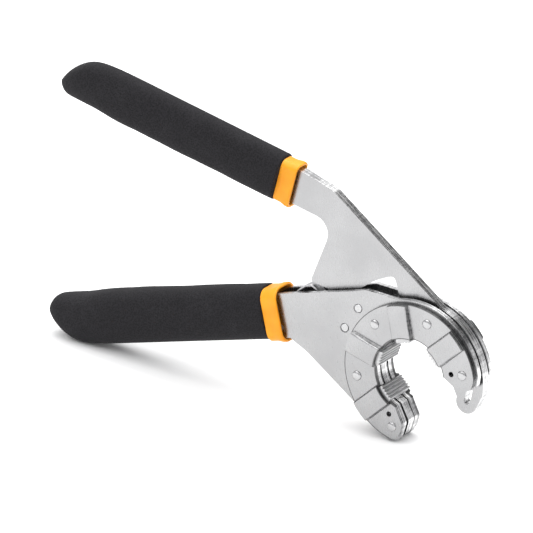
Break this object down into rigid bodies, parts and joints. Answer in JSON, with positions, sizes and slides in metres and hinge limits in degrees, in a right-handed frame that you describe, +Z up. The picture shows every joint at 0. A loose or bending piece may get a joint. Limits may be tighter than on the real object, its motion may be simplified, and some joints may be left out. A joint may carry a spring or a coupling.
{
  "type": "self-adjusting wrench pliers",
  "caption": "Hand wrench pliers: an open ring head whose sliding jaws close on a nut, bolt or pipe as the two foam-covered handles are squeezed together",
  "frame": {"origin": "centre of the base of the bounding box: the tool stands on the lower side of its head and on its lower grip", "axes": "+X from the grips to the head, +Y through the thickness towards the rear cover, +Z up in the plane of the plates"},
  "size_m": [0.1986, 0.0174, 0.1161],
  "materials": {
    "nickel_plate": "bright nickel plate over stamped steel",
    "plain_steel": "plain steel, hidden inside",
    "jaw_steel": "satin plated steel, ground teeth",
    "spring_steel": "polished strip",
    "collar_plastic": "satin moulded plastic, orange",
    "grip_foam": "fine-celled black foam sleeve"
  },
  "bodies": {
    "lower_handle": {"front_cover": "nickel_plate", "rear_cover": "nickel_plate", "front_handle_plate": "nickel_plate", "rear_handle_plate": "nickel_plate", "guide_rivet_1": "nickel_plate", "guide_rivet_2": "nickel_plate", "guide_rivet_3": "nickel_plate", "guide_rivet_4": "nickel_plate", "guide_rivet_5": "nickel_plate", "handle_rivet_1": "nickel_plate", "handle_rivet_2": "nickel_plate", "handle_bush_1": "plain_steel", "handle_bush_2": "plain_steel", "tang_spacer": "plain_steel", "tang_rivet_1": "plain_steel", "tang_rivet_2": "plain_steel", "spring_pin": "plain_steel", "return_spring": "spring_steel", "lower_collar": "collar_plastic", "lower_grip": "grip_foam"},
    "upper_handle": {"arm_plate_front": "nickel_plate", "arm_plate_rear": "nickel_plate", "arm_rivet_1": "plain_steel", "arm_rivet_2": "plain_steel", "upper_collar": "collar_plastic", "upper_grip": "grip_foam"},
    "jaw_body_1": {"jaw_1": "jaw_steel", "jaw_pin_1": "jaw_steel"},
    "jaw_body_2": {"jaw_2": "jaw_steel", "jaw_pin_2": "jaw_steel"},
    "jaw_body_3": {"jaw_3": "jaw_steel", "jaw_pin_3": "jaw_steel"},
    "jaw_body_4": {"jaw_4": "jaw_steel", "jaw_pin_4": "jaw_steel"}
  },
  "joints": [
    {"name": "handle_squeeze", "type": "hinge", "parent": "lower_handle", "child": "upper_handle", "pos_m": [0.06935, 0, 0.02967], "axis": [0, -1, 0], "range_deg": [0, 24], "stiffness_Nm_per_rad": 1.2, "springref_deg": -20.05, "deforming": ["return_spring"]},
    {"name": "jaw_1_slide", "type": "slide", "parent": "lower_handle", "child": "jaw_body_1", "axis": [-0.6954, 0, -0.7186], "range_m": [0, 0.0056]},
    {"name": "jaw_2_slide", "type": "slide", "parent": "lower_handle", "child": "jaw_body_2", "axis": [0.2746, 0, -0.9616], "range_m": [0, 0.0056]},
    {"name": "jaw_3_slide", "type": "slide", "parent": "lower_handle", "child": "jaw_body_3", "axis": [0.97, 0, -0.243], "range_m": [0, 0.0056]},
    {"name": "jaw_4_slide", "type": "slide", "parent": "lower_handle", "child": "jaw_body_4", "axis": [0.6954, 0, 0.7186], "range_m": [0, 0.0056]}
  ],
  "couplings": [
    {"joint": "jaw_1_slide", "follows": "handle_squeeze", "m_per_rad": 0.013369},
    {"joint": "jaw_2_slide", "follows": "handle_squeeze", "m_per_rad": 0.013369},
    {"joint": "jaw_3_slide", "follows": "handle_squeeze", "m_per_rad": 0.013369},
    {"joint": "jaw_4_slide", "follows": "handle_squeeze", "m_per_rad": 0.013369}
  ]
}
